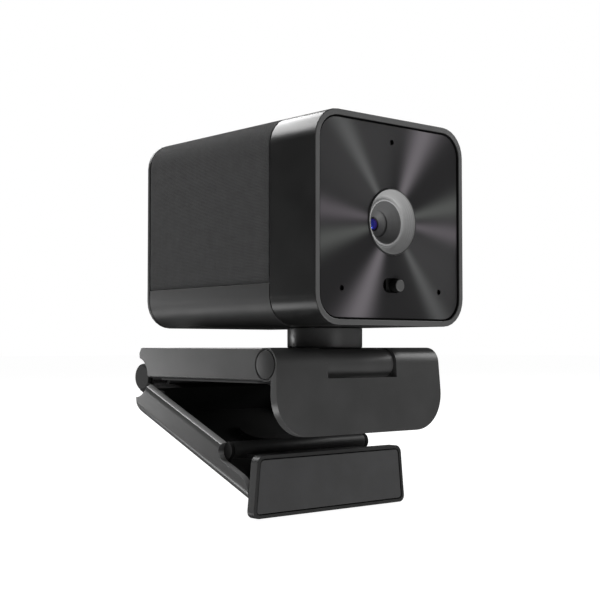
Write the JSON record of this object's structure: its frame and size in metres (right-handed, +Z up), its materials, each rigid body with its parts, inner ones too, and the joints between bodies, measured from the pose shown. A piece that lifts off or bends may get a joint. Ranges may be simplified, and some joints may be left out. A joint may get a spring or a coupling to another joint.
{
  "type": "webcam with folding screen clip",
  "caption": "Box-shaped webcam with rounded edges, fabric-covered body, sliding privacy shutter and a swivel neck on a folding screen clip.",
  "frame": {"origin": "on the head's pan axis, in the underside of the rubber pad that rests on the screen's top edge", "axes": "+Z up along the pan axis, the lens faces -Y, +X to the right seen from the front"},
  "size_m": [0.0666, 0.0926, 0.1146],
  "materials": {
    "hood_plastic": "satin black moulding, fine texture",
    "cloth": "fine dark grey plain weave",
    "panel_metal": "dark, spun to a radial sheen",
    "bezel_metal": "light grey, finely turned",
    "dish_plastic": "black, low sheen",
    "lens_glass": "polished, blue-violet coating",
    "knob_plastic": "dark grey satin",
    "inner_plastic": "black",
    "clip_plastic": "charcoal, fine texture",
    "pad_rubber": "dark grey, matt",
    "steel": "plain",
    "board": "green resist",
    "sink_aluminium": "as cast",
    "insert_brass": "turned"
  },
  "bodies": {
    "clip_top": {"upper_arm": "clip_plastic", "arm_base": "clip_plastic", "arm_pad": "pad_rubber", "swivel_neck": "clip_plastic", "pan_washer": "steel", "front_pin": "steel", "rear_pin": "steel", "rear_spacer_left": "steel", "rear_spacer_right": "steel", "base_screw_front_left": "steel", "base_screw_front_right": "steel", "base_screw_rear_left": "steel", "base_screw_rear_right": "steel"},
    "head": {"front_hood": "hood_plastic", "lower_shell": "hood_plastic", "inner_shell": "inner_plastic", "fabric_cover": "cloth", "rear_cover": "hood_plastic", "face_panel": "panel_metal", "lens_funnel": "bezel_metal", "lens_cone": "dish_plastic", "lens_barrel": "dish_plastic", "front_lens": "lens_glass", "lens_holder": "inner_plastic", "ir_filter": "lens_glass", "image_sensor": "inner_plastic", "sensor_board": "board", "inner_frame": "inner_plastic", "shutter_pivot": "steel", "frame_screw_left": "steel", "frame_screw_right": "steel", "microphone_top": "inner_plastic", "microphone_left": "inner_plastic", "microphone_right": "inner_plastic", "main_board": "board", "heat_sink": "sink_aluminium", "ribbon_cable": "board", "usb_board": "board", "usb_port": "steel", "cover_screw_lower_left": "steel", "cover_screw_lower_right": "steel", "cover_screw_upper_left": "steel", "cover_screw_upper_right": "steel", "pan_stem": "inner_plastic", "pan_nut": "steel"},
    "shutter_slider": {"shutter_knob": "knob_plastic"},
    "blade": {"shutter_blade": "inner_plastic"},
    "lip": {"front_plate": "clip_plastic", "lip_pad": "pad_rubber", "hinge_cap_left": "clip_plastic", "hinge_cap_right": "clip_plastic"},
    "lower_clip": {"lower_arm": "clip_plastic", "foot_pin": "steel", "tripod_insert": "insert_brass"},
    "foot": {"foot_plate": "clip_plastic", "foot_pad": "pad_rubber"}
  },
  "joints": [
    {"name": "head_pan", "type": "hinge", "parent": "clip_top", "child": "head", "pos_m": [0, 0, 0.0133], "axis": [0, 0, 1], "range_deg": [-170, 170]},
    {"name": "shutter_slide", "type": "slide", "parent": "head", "child": "shutter_slider", "axis": [1, 0, 0], "range_m": [-0.0032, 0]},
    {"name": "blade_swing", "type": "hinge", "parent": "head", "child": "blade", "pos_m": [0, -0.0226, 0.02195], "axis": [0, 1, 0], "range_deg": [-30.7, 0]},
    {"name": "lip_fold", "type": "hinge", "parent": "clip_top", "child": "lip", "pos_m": [0, -0.0115, 0.00545], "axis": [1, 0, 0], "range_deg": [-90, 40]},
    {"name": "arm_fold", "type": "hinge", "parent": "clip_top", "child": "lower_clip", "pos_m": [0, 0.0577, 0.0006], "axis": [1, 0, 0], "range_deg": [-10, 60]},
    {"name": "foot_tilt", "type": "hinge", "parent": "lower_clip", "child": "foot", "pos_m": [0, 0.01227, -0.02015], "axis": [1, 0, 0], "range_deg": [-35, 1]}
  ],
  "couplings": [
    {"joint": "blade_swing", "follows": "shutter_slide", "rad_per_m": 166.67}
  ]
}
